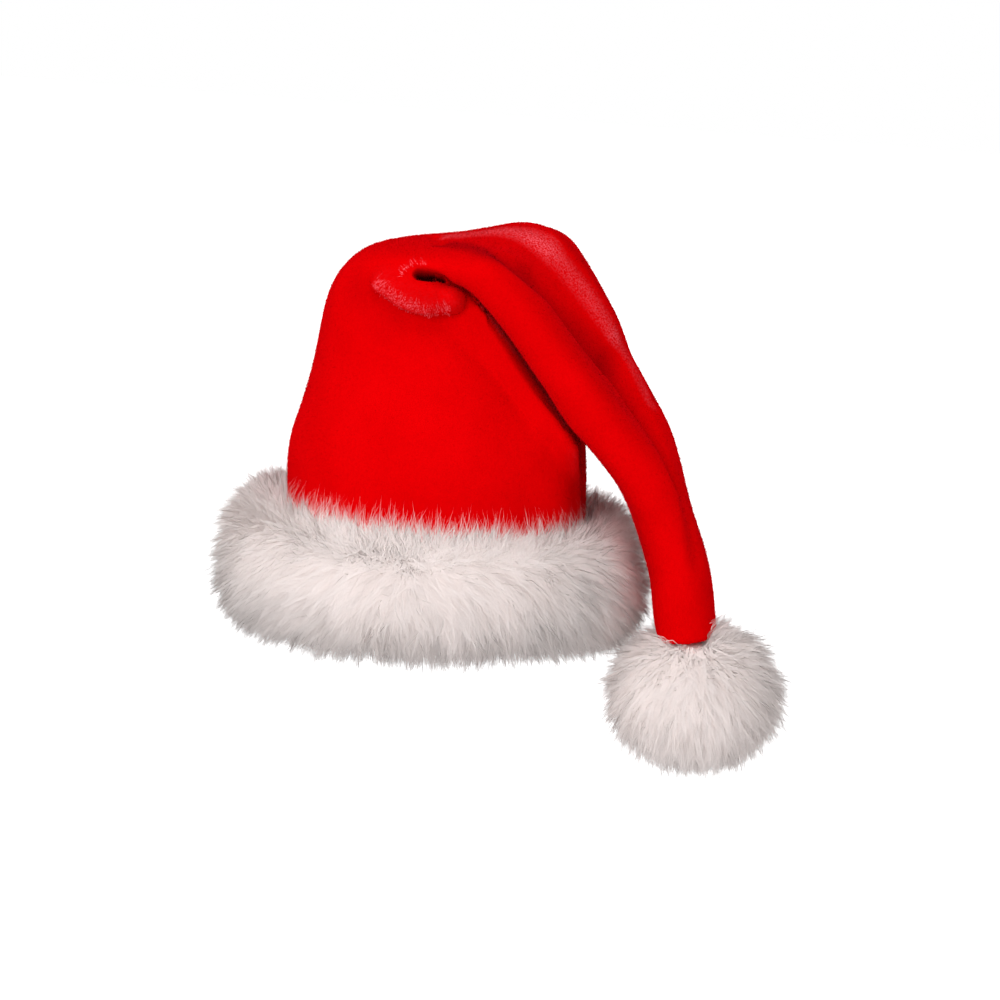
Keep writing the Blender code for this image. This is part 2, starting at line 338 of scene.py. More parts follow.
def cameraPlace():
    # the camera's three directions, its place and the metres per pixel at the origin
    elevation = math.radians(camera["elevation"])
    roll = math.radians(camera["roll"])
    back = Vector((0, -math.cos(elevation), math.sin(elevation)))
    level = Vector((1, 0, 0))
    upright = Vector((0, math.sin(elevation), math.cos(elevation)))
    right = level * math.cos(roll) + upright * math.sin(roll)
    up = upright * math.cos(roll) - level * math.sin(roll)
    scale = camera["distance"] * camera["sensor"] / camera["lens"] / camera["imageSize"]
    middle = camera["imageSize"] / 2
    x, y = camera["originPixel"]
    aim = right * (middle - x) * scale + up * (y - middle) * scale
    return right, up, back, aim + back * camera["distance"], scale


def placeCamera():
    right, up, back, spot, _ = cameraPlace()
    data = bpy.data.cameras.new("camera")
    data.lens = camera["lens"]
    data.sensor_width = camera["sensor"]
    made = bpy.data.objects.new("camera", data)
    bpy.context.scene.collection.objects.link(made)
    place = Matrix((right, up, back)).transposed().to_4x4()
    place.translation = spot
    made.matrix_world = place
    bpy.context.scene.camera = made


def addSun(name, azimuth, elevation, strength, softness):
    data = bpy.data.lights.new(name, "SUN")
    data.energy = strength
    data.angle = math.radians(softness)
    sun = bpy.data.objects.new(name, data)
    bpy.context.scene.collection.objects.link(sun)
    a, e = math.radians(azimuth), math.radians(elevation)
    towards = Vector((math.sin(a) * math.cos(e), -math.cos(a) * math.cos(e), math.sin(e)))
    sun.rotation_euler = towards.to_track_quat("Z", "Y").to_euler()


def placeLights():
    world = bpy.data.worlds.new("studio")
    world.use_nodes = True
    nodes = world.node_tree.nodes
    links = world.node_tree.links
    sky = nodes["Background"]
    sky.inputs["Color"].default_value = (*light["skyColor"], 1)
    sky.inputs["Strength"].default_value = light["skyStrength"]
    seen = nodes.new("ShaderNodeBackground")           # the backdrop that the camera sees
    seen.inputs["Color"].default_value = (1, 1, 1, 1)
    seen.inputs["Strength"].default_value = light["backdrop"]
    path = nodes.new("ShaderNodeLightPath")
    mix = nodes.new("ShaderNodeMixShader")
    links.new(path.outputs["Is Camera Ray"], mix.inputs["Fac"])
    links.new(sky.outputs["Background"], mix.inputs[1])
    links.new(seen.outputs["Background"], mix.inputs[2])
    links.new(mix.outputs["Shader"], nodes["World Output"].inputs["Surface"])
    bpy.context.scene.world = world
    addSun("keyLight", *light["keyFrom"])
    addSun("frontLight", *light["frontFrom"])
    addSun("topLight", *light["topFrom"])
    bpy.context.scene.view_settings.view_transform = "Standard"


def placeFloor():
    deselectAll()
    bpy.ops.mesh.primitive_plane_add(size=light["floorSize"], location=(0, 0, -light["floorDrop"]))
    floor = bpy.context.object
    floor.name = "floor"
    applyPlace(floor)
    paint = bpy.data.materials.new("floorPaint")
    paint.use_nodes = True
    shader = paint.node_tree.nodes["Principled BSDF"]
    shader.inputs["Base Color"].default_value = (*light["floorColor"], 1)
    shader.inputs["Roughness"].default_value = light["floorRoughness"]
    shader.inputs["Emission Color"].default_value = (1, 1, 1, 1)
    nodes, links = paint.node_tree.nodes, paint.node_tree.links
    path = nodes.new("ShaderNodeLightPath")
    glow = nodes.new("ShaderNodeMath")
    glow.operation = "MULTIPLY"
    glow.inputs[1].default_value = light["floorGlow"]
    links.new(path.outputs["Is Camera Ray"], glow.inputs[0])
    links.new(glow.outputs["Value"], shader.inputs["Emission Strength"])
    floor.data.materials.append(paint)


# Materials
def newGroup(name, inputs, outputs):
    group = bpy.data.node_groups.new(name, "ShaderNodeTree")
    for label, kind, value in inputs:
        socket = group.interface.new_socket(name=label, in_out="INPUT", socket_type=kind)
        if value is not None:
            socket.default_value = value
    for label, kind in outputs:
        group.interface.new_socket(name=label, in_out="OUTPUT", socket_type=kind)
    entry = group.nodes.new("NodeGroupInput")
    leave = group.nodes.new("NodeGroupOutput")
    return group, entry, leave


def noise(nodes, scale, detail=3.0, roughness=0.55):
    made = nodes.new("ShaderNodeTexNoise")
    made.inputs["Scale"].default_value = scale
    made.inputs["Detail"].default_value = detail
    made.inputs["Roughness"].default_value = roughness
    return made


def makeMottleGroup():
    # soft patches of two sizes, for colour that changes over cloth and fur
    group, entry, leave = newGroup(
        "mottle",
        [("Vector", "NodeSocketVector", None), ("Dark", "NodeSocketColor", (0, 0, 0, 1)),
         ("Light", "NodeSocketColor", (1, 1, 1, 1)), ("Large", "NodeSocketFloat", 18.0),
         ("Small", "NodeSocketFloat", 220.0), ("Small Share", "NodeSocketFloat", 0.4)],
        [("Color", "NodeSocketColor"), ("Mask", "NodeSocketFloat")],
    )
    nodes, links = group.nodes, group.links
    large, small = noise(nodes, 1.0), noise(nodes, 1.0, 4.0, 0.6)
    links.new(entry.outputs["Vector"], large.inputs["Vector"])
    links.new(entry.outputs["Vector"], small.inputs["Vector"])
    links.new(entry.outputs["Large"], large.inputs["Scale"])
    links.new(entry.outputs["Small"], small.inputs["Scale"])
    blend = nodes.new("ShaderNodeMix")
    links.new(entry.outputs["Small Share"], blend.inputs["Factor"])
    links.new(large.outputs["Fac"], blend.inputs["A"])
    links.new(small.outputs["Fac"], blend.inputs["B"])
    stretch = nodes.new("ShaderNodeMapRange")
    stretch.inputs["From Min"].default_value = 0.36
    stretch.inputs["From Max"].default_value = 0.64
    links.new(blend.outputs["Result"], stretch.inputs["Value"])
    tint = nodes.new("ShaderNodeMix")
    tint.data_type = "RGBA"
    links.new(stretch.outputs["Result"], tint.inputs["Factor"])
    links.new(entry.outputs["Dark"], tint.inputs[6])
    links.new(entry.outputs["Light"], tint.inputs[7])
    links.new(tint.outputs[2], leave.inputs["Color"])
    links.new(stretch.outputs["Result"], leave.inputs["Mask"])
    return group


def plainMaterial(name, look):
    made = bpy.data.materials.new(name)
    made.use_nodes = True
    shader = made.node_tree.nodes["Principled BSDF"]
    shader.inputs["Roughness"].default_value = look["roughness"]
    shader.inputs["Specular IOR Level"].default_value = look["specular"]
    shader.inputs["Sheen Weight"].default_value = look["sheen"]
    shader.inputs["Sheen Roughness"].default_value = look["sheenRoughness"]
    shader.inputs["Sheen Tint"].default_value = (*look["sheenTint"], 1)
    return made, shader


def mottled(material, shader, group, dark, light, scales):
    large, small, share = scales
    nodes, links = material.node_tree.nodes, material.node_tree.links
    place = nodes.new("ShaderNodeTexCoord")
    patches = nodes.new("ShaderNodeGroup")
    patches.node_tree = group
    links.new(place.outputs["Object"], patches.inputs["Vector"])
    patches.inputs["Dark"].default_value = (*dark, 1)
    patches.inputs["Light"].default_value = (*light, 1)
    patches.inputs["Large"].default_value = large
    patches.inputs["Small"].default_value = small
    patches.inputs["Small Share"].default_value = share
    links.new(patches.outputs["Color"], shader.inputs["Base Color"])
    return place, patches


def paintSheenShade(made, shader, patches):
    # painted sheen lightens the red where the attribute is above 0, and painted shade deepens it where the
    # attribute is below 0
    nodes, links = made.node_tree.nodes, made.node_tree.links
    napSheenShade = nodes.new("ShaderNodeAttribute")
    napSheenShade.attribute_name = "napSheenShade"
    blend = nodes.new("ShaderNodeMix")
    blend.data_type = "RGBA"
    blend.inputs[7].default_value = (*plush["paintedSheenRed"], 1)
    # painted sheen: lighter pink flecks where the attribute is above 0
    speckle = noise(nodes, plush["speckleScale"], 2.0)
    links.new(patches.inputs["Vector"].links[0].from_socket, speckle.inputs["Vector"])
    uneven = nodes.new("ShaderNodeMapRange")
    for side, before, after in zip(("Min", "Max"), plush["speckleFrom"], plush["speckleTo"]):
        uneven.inputs["From " + side].default_value = before
        uneven.inputs["To " + side].default_value = after
    links.new(speckle.outputs["Fac"], uneven.inputs["Value"])
    raisedSheen = nodes.new("ShaderNodeMath")
    raisedSheen.operation = "MULTIPLY"
    links.new(napSheenShade.outputs["Fac"], raisedSheen.inputs[0])
    links.new(uneven.outputs["Result"], raisedSheen.inputs[1])
    links.new(raisedSheen.outputs["Value"], blend.inputs["Factor"])
    links.new(patches.outputs["Color"], blend.inputs[6])
    # painted shade: the red deepens where the attribute is below 0, in the valleys, creases and the hole
    shadeShare = nodes.new("ShaderNodeMath")
    shadeShare.operation = "MULTIPLY"
    shadeShare.inputs[1].default_value = -1.0
    links.new(napSheenShade.outputs["Fac"], shadeShare.inputs[0])
    deepen = nodes.new("ShaderNodeMix")
    deepen.data_type = "RGBA"
    deepen.inputs[7].default_value = (*plush["paintedShadeRed"], 1)
    links.new(shadeShare.outputs["Value"], deepen.inputs["Factor"])
    links.new(blend.outputs[2], deepen.inputs[6])
    links.new(deepen.outputs[2], shader.inputs["Base Color"])


def makePlush(mottle):
    made, shader = plainMaterial("redPlush", plush["look"])
    place, patches = mottled(made, shader, mottle, plush["deepRed"], plush["red"], plush["mottle"])
    paintSheenShade(made, shader, patches)
    nodes, links = made.node_tree.nodes, made.node_tree.links
    grain = noise(nodes, plush["grainScale"], 2.0)
    links.new(place.outputs["Object"], grain.inputs["Vector"])
    bump = nodes.new("ShaderNodeBump")
    bump.inputs["Strength"].default_value = plush["grainStrength"]
    bump.inputs["Distance"].default_value = plush["grainHeight"]
    links.new(grain.outputs["Fac"], bump.inputs["Height"])
    links.new(bump.outputs["Normal"], shader.inputs["Normal"])
    return made


def makePilePaint(mottle):
    made, shader = plainMaterial("plushPile", plush["look"])
    _, patches = mottled(made, shader, mottle, plush["deepRed"], plush["red"], plush["pileMottle"])
    paintSheenShade(made, shader, patches)
    return made


def makeBacking(mottle):
    made, shader = plainMaterial("knitBacking", plush["backLook"])
    mottled(made, shader, mottle, plush["backing"], plush["deepRed"], plush["backMottle"])
    return made


def makeFur(mottle):
    made, shader = plainMaterial("whiteFur", cuff["look"])
    mottled(made, shader, mottle, cuff["shade"], cuff["white"], cuff["mottle"])
    return made


# The plush cone
def copyNode(name, newName):
    made = frame["nodes"][name].copy()
    made.data = made.data.copy()
    made.name = newName
    made.data.name = newName
    made.parent = None
    made.matrix_world = Matrix()
    bpy.context.scene.collection.objects.link(made)
    return made


def selectFaces(piece, wanted):
    # selects in edit mode the faces that the test names, and nothing else
    makeActive(piece)
    bpy.ops.object.mode_set(mode="EDIT")
    bpy.ops.mesh.select_mode(type="FACE")
    bpy.ops.mesh.select_all(action="DESELECT")
    bpy.ops.object.mode_set(mode="OBJECT")
    for polygon in piece.data.polygons:
        polygon.select = wanted(polygon)
    bpy.ops.object.mode_set(mode="EDIT")


def keepOuterShell(cone):
    # the cloth's outer side alone: what the topmost face reaches without crossing the rim
    bm = bmesh.new()
    bm.from_mesh(cone.data)
    bm.faces.ensure_lookup_table()
    rim = {face.index for face in bm.faces if face.normal.z < -0.9 and face.calc_center_median().z < 0.001}
    start = max(bm.faces, key=lambda face: face.calc_center_median().z)
    outer, reached = {start.index}, [start]
    while reached:
        for edge in reached.pop().edges:
            for face in edge.link_faces:
                if face.index not in outer and face.index not in rim:
                    outer.add(face.index)
                    reached.append(face)
    bm.free()
    selectFaces(cone, lambda polygon: polygon.index not in outer)
    bpy.ops.mesh.delete(type="FACE")
    bpy.ops.object.mode_set(mode="OBJECT")


def readVectors(mesh, kind):
    values = np.empty(len(mesh.vertices) * 3)
    mesh.vertices.foreach_get(kind, values)
    return values.reshape(-1, 3)


def surfaceTree(piece):
    faces = [tuple(polygon.vertices) for polygon in piece.data.polygons]
    return BVHTree.FromPolygons(readVectors(piece.data, "co").tolist(), faces)


def storeNapSheenShade(mesh, values):
    attribute = mesh.attributes.new("napSheenShade", "FLOAT", "POINT")
    attribute.data.foreach_set("value", values.astype(np.float32))


def photoHit(tree, x, y):
    # the point of the surface that shows at a pixel, and its normal
    right, up, back, eye, scale = cameraPlace()
    middle = camera["imageSize"] / 2
    aim = right * (x - middle) * scale + up * (middle - y) * scale - back * camera["distance"]
    return tree.ray_cast(eye, aim.normalized())[:2]


def photoSpots(tree, path, spacing=2.0):
    # the points of the surface that show at pixels along a path, and their normals
    spots, looks = [], []
    for (x0, y0), (x1, y1) in zip(path, path[1:]):
        count = max(1, int(math.hypot(x1 - x0, y1 - y0) / spacing))
        for step in range(count + 1):
            hit, normal = photoHit(tree, x0 + (x1 - x0) * step / count, y0 + (y1 - y0) * step / count)
            if hit:
                spots.append(hit)
                looks.append(normal)
    return np.array(spots), np.array(looks)


def sculptFold(cone):
    # applies the strokes one after another, each to the surface that the last one left
    mesh = cone.data
    napSheenShade = np.zeros(len(mesh.vertices))
    for stroke in foldStrokes:
        coords, normals = readVectors(mesh, "co"), readVectors(mesh, "normal")
        spots, looks = photoSpots(surfaceTree(cone), stroke["path"])
        low, high = spots.min(axis=0) - stroke["reach"], spots.max(axis=0) + stroke["reach"]
        near = np.flatnonzero(((coords > low) & (coords < high)).all(axis=1))
        away = np.linalg.norm(coords[near, None, :] - spots[None, :, :], axis=2)
        nearest = away.argmin(axis=1)
        fade = np.zeros(len(coords))
        fade[near] = np.clip(1 - (away.min(axis=1) / stroke["reach"]) ** 2, 0, 1) ** 2
        if stroke.get("alike"):
            same = np.sum(normals[near] * looks[nearest], axis=1)
            fade[near] *= np.clip(same * plush["alikeGain"], 0, 1)
        if "level" in stroke:
            depth = np.linspace(*stroke["level"], len(spots))[nearest]
            coords[near, 1] += fade[near] * np.minimum(depth - coords[near, 1], 0)
        ways = unit(np.array(stroke["into"])) if "into" in stroke else normals
        coords += ways * (fade * stroke["push"])[:, None]
        coords[:, 2] += fade * stroke["slide"]
        # painted sheen above 0 and painted shade below 0, summed over the strokes
        napSheenShade += fade * stroke["napSheenShade"]
        mesh.vertices.foreach_set("co", coords.reshape(-1))
        mesh.update()
    storeNapSheenShade(mesh, np.clip(napSheenShade, -1, 1))
    print("folds shaped:", ", ".join(stroke["name"] for stroke in foldStrokes))


def calmFold(cone):
    # eases the crumpled cloth where the lip runs out under the tail
    spots = [Vector(spot) for spot in photoSpots(surfaceTree(cone), calmed["path"])[0]]
    near = lambda polygon: min((polygon.center - spot).length for spot in spots) < calmed["reach"]
    selectFaces(cone, near)
    bpy.ops.mesh.vertices_smooth(factor=0.5, repeat=calmed["repeat"])
    bpy.ops.object.mode_set(mode="OBJECT")


def makeCone(paint, backing):
    cone = copyNode("crown", "plushCone")
    cone.data.materials.clear()
    cone.data.materials.append(paint)
    cone.data.materials.append(backing)
    makeActive(cone)
    bpy.ops.object.mode_set(mode="EDIT")
    bpy.ops.mesh.select_all(action="SELECT")
    bpy.ops.mesh.remove_doubles(threshold=plush["mergeGap"])
    angle = math.radians(plush["quadAngle"])
    bpy.ops.mesh.tris_convert_to_quads(face_threshold=angle, shape_threshold=angle)
    bpy.ops.object.mode_set(mode="OBJECT")
    keepOuterShell(cone)
    addModifier(cone, "SUBSURF", levels=plush["smoothing"], render_levels=plush["smoothing"])
    x, y, reach = plush["refined"]
    fold, _ = photoHit(surfaceTree(cone), x, y)
    selectFaces(cone, lambda polygon: (polygon.center - fold).length < reach)
    bpy.ops.mesh.subdivide(number_cuts=plush["refinedCuts"])
    bpy.ops.object.mode_set(mode="OBJECT")
    sculptFold(cone)
    calmFold(cone)
    addModifier(
        cone, "SOLIDIFY", thickness=plush["wall"], offset=-1, material_offset=1, material_offset_rim=0,
    )
    makeActive(cone)
    bpy.ops.object.shade_smooth()
    print("plush cone:", len(cone.data.polygons), "faces")
    return cone


def finish(piece, node):
    # a piece with no node of its own lies on one that has
    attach(piece, "root")
    if node:
        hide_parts(node)


# Strands
def ribbonMesh(name, rings, facing, paint):
    # strips of faces along strands: rings holds each strand's points, pair by pair, then its tip
    count, corners = rings.shape[:2]
    pairs = (corners - 1) // 2
    base = np.arange(count)[:, None] * corners
    steps = [base + [2 * i, 2 * i + 1, 2 * i + 3, 2 * i + 2] for i in range(pairs - 1)]
    quads = np.concatenate([base[:, :0], *steps], axis=1)
    ends = (base + [corners - 3, corners - 2, corners - 1]).reshape(-1)
    loops = np.concatenate([quads.reshape(-1), ends])
    quadCount = count * (pairs - 1)
    starts = np.concatenate([np.arange(quadCount) * 4, quadCount * 4 + np.arange(count) * 3])
    mesh = bpy.data.meshes.new(name)
    mesh.vertices.add(count * corners)
    mesh.vertices.foreach_set("co", rings.astype(np.float32).reshape(-1))
    mesh.loops.add(len(loops))
    mesh.loops.foreach_set("vertex_index", loops.astype(np.int32))
    mesh.polygons.add(len(starts))
    mesh.polygons.foreach_set("loop_start", starts.astype(np.int32))
    mesh.update(calc_edges=True)
    mesh.shade_smooth()
    mesh.normals_split_custom_set_from_vertices(np.repeat(facing, corners, axis=0).astype(np.float32))
    mesh.materials.append(paint)
    made = bpy.data.objects.new(name, mesh)
    bpy.context.scene.collection.objects.link(made)
    return made


def unit(vectors):
    return vectors / np.maximum(np.linalg.norm(vectors, axis=-1, keepdims=True), 1e-9)


def turnedOut(sides, along, facing):
    # flips a strip's side so that its front looks the way the pile faces
    outward = np.sum(np.cross(sides, along) * facing, axis=-1, keepdims=True)
    return np.where(outward < 0, -sides, sides)


def bend(roots, mids, tips, step):
    # the place this far along each bent strand
    return (1 - step) ** 2 * roots + 2 * step * (1 - step) * mids + step ** 2 * tips


def strandRings(roots, mids, tips, sides, widths):
    rings = []
    for step, span in hair["spans"]:
        along = bend(roots, mids, tips, step)
        half = sides * (widths * span / 2)[:, None]
        rings += [along - half, along + half]
    rings.append(tips)
    return np.stack(rings, axis=1)


def growTufts(rng, points, normals, flows, fur, lengths):
    # hairs start round each tuft's root; a guard tuft's hairs draw together to a point
    count = len(points)
    each = fur["hairsPerTuft"]
    guard = rng.uniform(0, 1, count) < fur["guardShare"]
    gather = np.where(guard, *hair["gather"])[:, None, None]
    loose = np.where(guard, *hair["loose"])[:, None, None] * fur["tipSpread"]
    stray = np.where(guard, *hair["stray"])[:, None]
    tuftLength = fur["length"] * lengths * np.where(guard, *hair["tall"])
    tuftLength = tuftLength * rng.uniform(*hair["tuftLengths"], count)
    lean = unit(normals * fur["stand"] + flows + rng.normal(0, 1, (count, 3)) * stray)
    tuftTips = points + lean * tuftLength[:, None]
    across = unit(np.cross(normals, rng.normal(0, 1, (count, 3))))
    along = np.cross(normals, across)
    spread = fur["tuftSpread"] * np.sqrt(rng.uniform(0, 1, (count, each)))
    turn = rng.uniform(0, 2 * math.pi, (count, each))
    offset = (
        across[:, None, :] * (spread * np.cos(turn))[..., None]
        + along[:, None, :] * (spread * np.sin(turn))[..., None]
    )
    roots = points[:, None, :] + offset
    tips = tuftTips[:, None, :] + offset * gather + rng.normal(0, 1, (count, each, 3)) * loose
    reach = rng.uniform(*hair["hairLengths"], (count, each, 1))
    tips = roots + (tips - roots) * reach
    mids = roots + normals[:, None, :] * (tuftLength[:, None, None] * hair["bow"] * reach)
    hairLength = tuftLength[:, None] * reach[..., 0]
    tips[..., 2] -= fur["droop"] * hairLength * rng.uniform(*hair["droops"], (count, each))
    facing = unit(normals[:, None, :] + rng.normal(0, hair["facingSplay"], tips.shape))
    sides = unit(np.cross(tips - roots, facing + rng.normal(0, hair["twist"], (count, each, 3))))
    sides = turnedOut(sides, tips - roots, facing)
    widths = fur["width"] * rng.uniform(*hair["widths"], count * each)
    widths = widths * np.repeat(np.where(guard, *hair["thick"]), each)
    roots, mids, tips, sides, facing = (
        np.ascontiguousarray(values).reshape(-1, 3) for values in (roots, mids, tips, sides, facing)
    )
    return roots, mids, tips, sides, widths, facing


def clearOf(tree, strands, reach=0.03):
    # leaves out the strands that run into the plush
    keep = np.ones(len(strands[0]), bool)
    for step in hair["tested"]:
        spots = bend(*strands[:3], step)
        for i in np.flatnonzero(keep):
            hit, normal, _, _ = tree.find_nearest(spots[i], reach)
            if hit and (Vector(spots[i]) - hit).dot(normal) < 0:
                keep[i] = False
    return [values[keep] for values in strands]


def growPiece(name, strands, tree, paint):
    roots, mids, tips, sides, widths, facing = clearOf(tree, strands)
    made = ribbonMesh(name, strandRings(roots, mids, tips, sides, widths), facing, paint)
    made.visible_shadow = False                        # light goes in between hairs so fine
    print(name + ":", len(roots), "hairs")
    return made


def cuffRing():
    # half sizes of the plush inside the cuff, read from the frame
    low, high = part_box("crown")
    return -low[0], (high[1] - low[1]) / 2


def cuffSurface(angles, sweeps):
    # the fur's backing: angle goes round the head, sweep from the top seam (0) to the foot (1)
    halfWidth, halfDepth = cuffRing()
    front = (1 - np.sin(angles)) / 2
    rootHigh = cuff["rootHigh"] - cuff["frontDip"] * front ** 2
    rootLow = cuff["rootLow"] + cuff["rightRise"] * np.clip(np.cos(angles + cuff["riseTurn"]), 0, 1)
    middle = (rootHigh + rootLow) / 2
    half = (rootHigh - rootLow) / 2
    bulge = cuff["rootBulge"] + cuff["leftBulge"] * np.clip(-np.cos(angles), 0, 1)
    bulge = bulge + cuff["rightBulge"] * np.clip(np.cos(angles), 0, 1) ** 2 * sweeps
    out = bulge * np.sin(sweeps * math.pi).clip(0) ** cuff["square"] + cuff["backingGap"]
    points = np.stack([
        (halfWidth + out) * np.cos(angles),
        (halfDepth + out) * np.sin(angles),
        middle + half * np.cos(sweeps * math.pi),
    ], axis=-1)
    ring = unit(np.stack([np.cos(angles) / halfWidth, np.sin(angles) / halfDepth, 0 * angles], axis=-1))
    tilt = sweeps * math.pi
    normals = unit(ring * np.sin(tilt)[..., None] + np.array([0, 0, 1.0]) * np.cos(tilt)[..., None])
    return points, normals, ring


def makeCuffBacking(paint):
    rings, columns = cuff["backingRings"], cuff["backingColumns"]
    turns = np.arange(columns) / columns * 2 * math.pi
    sweeps, angles = np.meshgrid(np.linspace(0, 1, rings), turns, indexing="ij")
    points, _, _ = cuffSurface(angles, sweeps)
    bm = bmesh.new()
    rows = [[bm.verts.new(point) for point in row] for row in points]
    for i in range(rings):
        following = rows[(i + 1) % rings]
        for j in range(columns):
            k = (j + 1) % columns
            bm.faces.new((rows[i][j], following[j], following[k], rows[i][k]))
    bmesh.ops.recalc_face_normals(bm, faces=bm.faces)
    mesh = bpy.data.meshes.new("cuffBacking")
    bm.to_mesh(mesh)
    bm.free()
    mesh.shade_smooth()
    mesh.materials.append(paint)
    made = bpy.data.objects.new("cuffBacking", mesh)
    bpy.context.scene.collection.objects.link(made)
    return made


def waves(rows, angles, sweeps):
    return sum(
        np.sin(angles * row["turns"] + row["shift"] + sweeps * row["slope"]) * row["size"] for row in rows
    )


def cuffFlow(angles, sweeps):
    # the way the hair lies: up at the top, down at the foot, and outwards to both sides
    upward = np.interp(sweeps, cuff["lieSweeps"], cuff["lieUp"])
    upward = upward + waves(cuff["upWaves"], angles, sweeps)
    least, more = cuff["sideLie"]
    sideways = np.clip(np.cos(angles) * cuff["sideGain"], -1, 1)
    sideways = sideways * (least + more * np.sin(sweeps * math.pi))
    around = waves(cuff["aroundWaves"], angles, sweeps)
    around = around + cuff["wisps"] * np.exp(-(upward / cuff["wispBand"]) ** 2)
    flows = np.zeros((len(angles), 3))
    flows[:, 0] = sideways - np.sin(angles) * around
    flows[:, 1] = np.cos(angles) * around
    flows[:, 2] = upward
    return flows


def strayStrands(rng, angles):
    # long thin single hairs that stand up out of the fur's top edge, over the plush
    sweeps = rng.uniform(*cuff["straySweeps"], len(angles))
    points, _, ring = cuffSurface(angles, sweeps)
    splay = rng.normal(0, cuff["straySplay"], points.shape)
    lean = unit(ring * cuff["strayLean"] + np.array([0, 0, 1.0]) + splay)
    length = cuff["length"] * rng.uniform(*cuff["strayLengths"], (len(angles), 1))
    tips = points + lean * length
    leaning, along = cuff["strayBow"]
    mids = points + unit(ring + lean * leaning) * length * along
    sides = turnedOut(unit(np.cross(tips - points, ring)), tips - points, ring)
    widths = cuff["width"] * rng.uniform(*cuff["strayWidths"], len(angles))
    return points, mids, tips, sides, widths, ring


def makeCuffFur(tree, paint):
    # the first piece is the one across the brow
    rng = np.random.default_rng(cuff["seed"])
    pieces = []
    span = 2 * math.pi / cuff["pieces"]
    for part in range(cuff["pieces"]):
        count = cuff["tufts"] // cuff["pieces"]
        start = part * span - math.pi / 2 - span / 2
        angles = start + rng.uniform(0, span, count)
        sweeps = rng.beta(cuff["rootCrowd"], cuff["rootCrowd"], count)
        points, normals, _ = cuffSurface(angles, sweeps)
        lengths = cuff["endLength"] + cuff["middleLength"] * np.sin(sweeps * math.pi)
        tufted = growTufts(rng, points, normals, cuffFlow(angles, sweeps), cuff, lengths)
        single = strayStrands(rng, start + rng.uniform(0, span, cuff["strayHairs"]))
        strands = [np.concatenate(pair) for pair in zip(tufted, single)]
        pieces.append(growPiece("cuffFur" + "ABC"[part], strands, tree, paint))
    return pieces


def pompomPlace():
    low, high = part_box("pompom")
    middle = (Vector(low) + Vector(high)) / 2
    return np.array(middle) + np.array([pompom["aside"], 0, 0])


def makePompomHead(paint):
    deselectAll()
    bpy.ops.mesh.primitive_ico_sphere_add(
        subdivisions=pompom["headDetail"], radius=1, location=pompomPlace(), scale=pompom["headSize"],
    )
    head = bpy.context.object
    head.name = "pompomHead"
    head.data.name = "pompomHead"
    applyPlace(head)
    bpy.ops.object.shade_smooth()
    head.data.materials.append(paint)
    return head


def makePompomFur(tree, paint):
    rng = np.random.default_rng(pompom["seed"])
    middle = pompomPlace()
    count = pompom["tufts"]
    order = np.arange(count) + 0.5
    height = 1 - 2 * order / count
    turn = order * math.pi * (3 - math.sqrt(5))      # an even spiral over the ball
    level = np.sqrt(1 - height ** 2)
    normals = np.stack([level * np.cos(turn), level * np.sin(turn), height], axis=-1)
    normals = unit(normals + rng.normal(0, pompom["rootScatter"], normals.shape))
    points = middle + normals * pompom["headSize"]
    fall = -np.array(pompom["crownFrom"])
    along = fall - normals * (normals @ fall)[:, None]
    strength = np.clip(np.linalg.norm(along, axis=1, keepdims=True) * pompom["combGain"], 0, 1)
    flows = unit(along) * strength * pompom["comb"]
    lengths = 1 - pompom["poleShort"] * (normals @ fall) ** 2
    strands = growTufts(rng, points, normals, flows, pompom, lengths)
    tips = strands[2]
    # none of it hangs over the front of the tail's end
    tailX, tailHeight, tailHalf = pompom["tailEnd"]
    over = (tips[:, 2] > tailHeight) & (tips[:, 1] < middle[1]) & (np.abs(tips[:, 0] - tailX) < tailHalf)
    return growPiece("pompomFur", [values[~over] for values in strands], tree, paint)


def surfaceSpots(piece, count, rng, slot):
    # random spots on the outer faces of a mesh, with their normals
    mesh = piece.data
    mesh.calc_loop_triangles()
    triangles = np.empty(len(mesh.loop_triangles) * 3, np.int32)
    mesh.loop_triangles.foreach_get("vertices", triangles)
    owners = np.empty(len(mesh.loop_triangles), np.int32)
    mesh.loop_triangles.foreach_get("material_index", owners)
    coords, normals = readVectors(mesh, "co"), readVectors(mesh, "normal")
    triangles = triangles.reshape(-1, 3)[owners == slot]
    a, b, c = (coords[triangles[:, i]] for i in range(3))
    areas = np.linalg.norm(np.cross(b - a, c - a), axis=1) / 2
    picks = rng.choice(len(triangles), count, p=areas / areas.sum())
    u, v = rng.uniform(0, 1, (2, count))
    flip = u + v > 1
    u[flip], v[flip] = 1 - u[flip], 1 - v[flip]
    weights = np.stack([1 - u - v, u, v], axis=-1)
    corner = triangles[picks]
    spots = (coords[corner] * weights[..., None]).sum(axis=1)
    facing = unit((normals[corner] * weights[..., None]).sum(axis=1))
    # the painted sheen and shade at each spot
    napSheenShade = np.empty(len(mesh.vertices), np.float32)
    mesh.attributes["napSheenShade"].data.foreach_get("value", napSheenShade)
    return spots, facing, (napSheenShade[corner] * weights).sum(axis=1)


